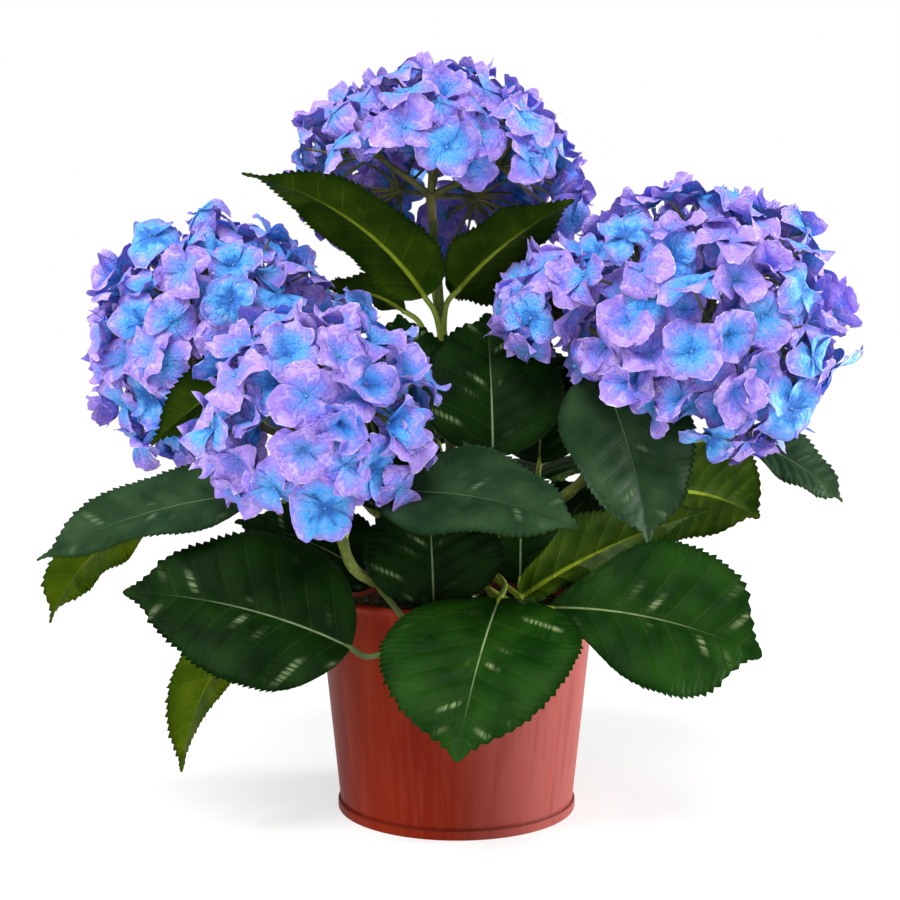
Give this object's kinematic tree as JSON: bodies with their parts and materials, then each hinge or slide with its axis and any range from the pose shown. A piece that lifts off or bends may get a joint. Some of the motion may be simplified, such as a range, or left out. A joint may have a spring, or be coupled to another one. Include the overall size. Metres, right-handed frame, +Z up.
{
  "type": "artificial potted hydrangea",
  "caption": "Artificial hydrangea in a round painted pot: blue and lilac mophead flower heads on curved stems above broad, toothed, dark green leaves.",
  "frame": {"origin": "centre of the pot's flat underside", "axes": "+Z up, -Y towards the front of the plant, +X to its right as it is seen from the front"},
  "size_m": [0.4268, 0.3363, 0.4045],
  "materials": {
    "pot_paint": "matt terracotta-coloured paint with fine upright streaks",
    "moss_filler": "dull brown dried moss over cement",
    "stem_plastic": "satin olive green with raised specks and knots",
    "leaf_cloth": "stiffened printed cloth, glossy dark green above and yellow-green below",
    "blossom_cloth": "thin satin cloth, sky blue at the eye and lilac at the rim"
  },
  "bodies": {
    "root": {"head_front": "blossom_cloth", "head_left": "blossom_cloth", "head_right": "blossom_cloth", "head_top": "blossom_cloth", "leaf_back_left": "leaf_cloth", "leaf_back_right": "leaf_cloth", "leaf_back_upper": "leaf_cloth", "leaf_between": "leaf_cloth", "leaf_centre_back": "leaf_cloth", "leaf_centre_left": "leaf_cloth", "leaf_centre_low_left": "leaf_cloth", "leaf_centre_low_right": "leaf_cloth", "leaf_centre_middle": "leaf_cloth", "leaf_centre_right": "leaf_cloth", "leaf_centre_up": "leaf_cloth", "leaf_far_right": "leaf_cloth", "leaf_front": "leaf_cloth", "leaf_left": "leaf_cloth", "leaf_left_back": "leaf_cloth", "leaf_left_hanging": "leaf_cloth", "leaf_low_back": "leaf_cloth", "leaf_low_left": "leaf_cloth", "leaf_low_left_back": "leaf_cloth", "leaf_low_left_hanging": "leaf_cloth", "leaf_low_left_inner": "leaf_cloth", "leaf_low_right": "leaf_cloth", "leaf_low_right_back": "leaf_cloth", "leaf_low_right_inner": "leaf_cloth", "leaf_middle": "leaf_cloth", "leaf_right_back": "leaf_cloth", "leaf_right_centre": "leaf_cloth", "leaf_right_hanging": "leaf_cloth", "leaf_under_right": "leaf_cloth", "leaf_upper_back_left": "leaf_cloth", "leaf_upper_back_right": "leaf_cloth", "leaf_upper_left": "leaf_cloth", "leaf_upper_right": "leaf_cloth", "pot": "pot_paint", "pot_filler": "moss_filler", "stem_front": "stem_plastic", "stem_left": "stem_plastic", "stem_right": "stem_plastic", "stem_shoot": "stem_plastic", "stem_top": "stem_plastic", "trunk": "stem_plastic"}
  },
  "joints": []
}
